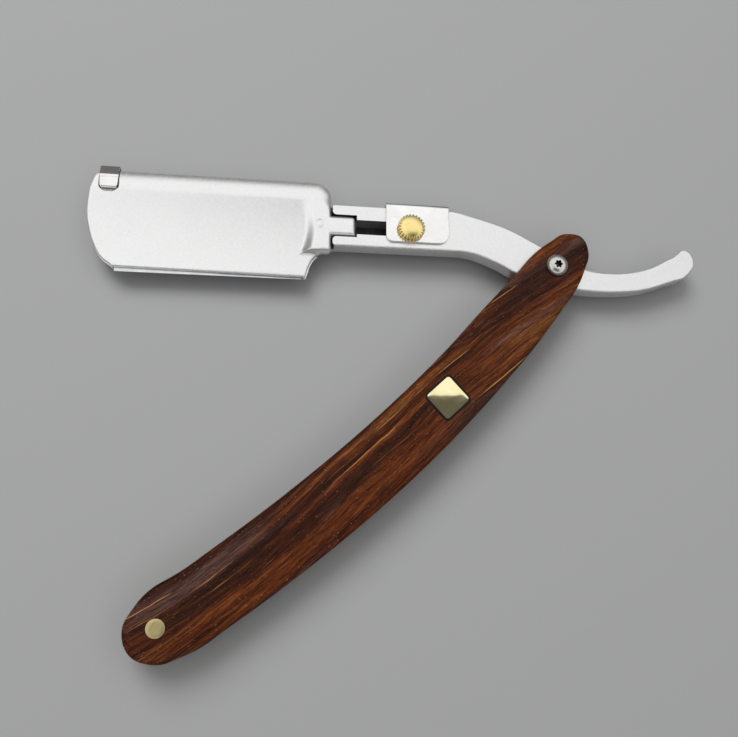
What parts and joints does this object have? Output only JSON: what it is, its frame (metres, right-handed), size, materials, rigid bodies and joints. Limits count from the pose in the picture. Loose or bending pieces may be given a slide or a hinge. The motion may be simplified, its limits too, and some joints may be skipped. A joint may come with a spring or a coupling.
{
  "type": "straight razor",
  "caption": "Folding barber's razor with curved wooden scales, forked metal tang, lift-up blade cover, sliding saddle lock and replaceable single-edge blade.",
  "frame": {"origin": "on the pivot axis, in the plane of the back scale's outer face", "axes": "+X along the tang from the blade head to the tail, +Y towards the head's spine, +Z through the scales towards the knob side"},
  "size_m": [0.1611, 0.1196, 0.0127],
  "materials": {
    "rosewood": "satin oiled rosewood",
    "brass": "brushed",
    "polished_brass": "mirror polished",
    "washer_brass": "plain",
    "stainless": "polished stainless",
    "silver_paint": "satin silver paint over fine blasting",
    "blade_steel": "ground blade steel",
    "nickel": "bright nickel plate",
    "black_polymer": "black acetal",
    "blackened_steel": "black oxide"
  },
  "bodies": {
    "handle": {"front_scale": "rosewood", "back_scale": "rosewood", "scale_spacer": "rosewood", "end_pin": "brass", "square_inlay": "polished_brass", "pivot_screw": "stainless", "pivot_barrel": "stainless", "front_washer": "washer_brass", "back_washer": "washer_brass"},
    "tang": {"tang": "silver_paint", "nose_clip": "nickel", "clip_rivet": "stainless", "nose_dowel": "stainless"},
    "cover": {"cover_plate": "silver_paint", "root_pin": "silver_paint"},
    "blade": {"razor_blade": "blade_steel"},
    "lock": {"lock_saddle": "nickel", "guide_block": "black_polymer"},
    "knob": {"lock_knob": "brass"},
    "clamp": {"clamp_bar": "blackened_steel"}
  },
  "joints": [
    {"name": "tang_pivot", "type": "hinge", "parent": "handle", "child": "tang", "pos_m": [0, 0, 0.0056], "axis": [0, 0, 1], "range_deg": [-250, 45]},
    {"name": "cover_lift", "type": "hinge", "parent": "tang", "child": "cover", "pos_m": [-0.1202, 0, 0.0055], "axis": [0, 1, 0], "range_deg": [-3, 0]},
    {"name": "blade_draw", "type": "slide", "parent": "tang", "child": "blade", "axis": [-0.0134, -0.9999, 0], "range_m": [0, 0.0115]},
    {"name": "lock_slide", "type": "slide", "parent": "tang", "child": "lock", "axis": [-1, 0, 0], "range_m": [0, 0.011]},
    {"name": "knob_turn", "type": "hinge", "parent": "lock", "child": "knob", "pos_m": [-0.0384, 0.00898, 0.0097], "axis": [0, 0, 1], "range_deg": [0, 360]},
    {"name": "clamp_draw", "type": "slide", "parent": "lock", "child": "clamp", "axis": [0, 0, 1], "range_m": [-0.00045, 0]}
  ],
  "couplings": [
    {"joint": "knob_turn", "follows": "clamp_draw", "rad_per_m": -13963}
  ]
}
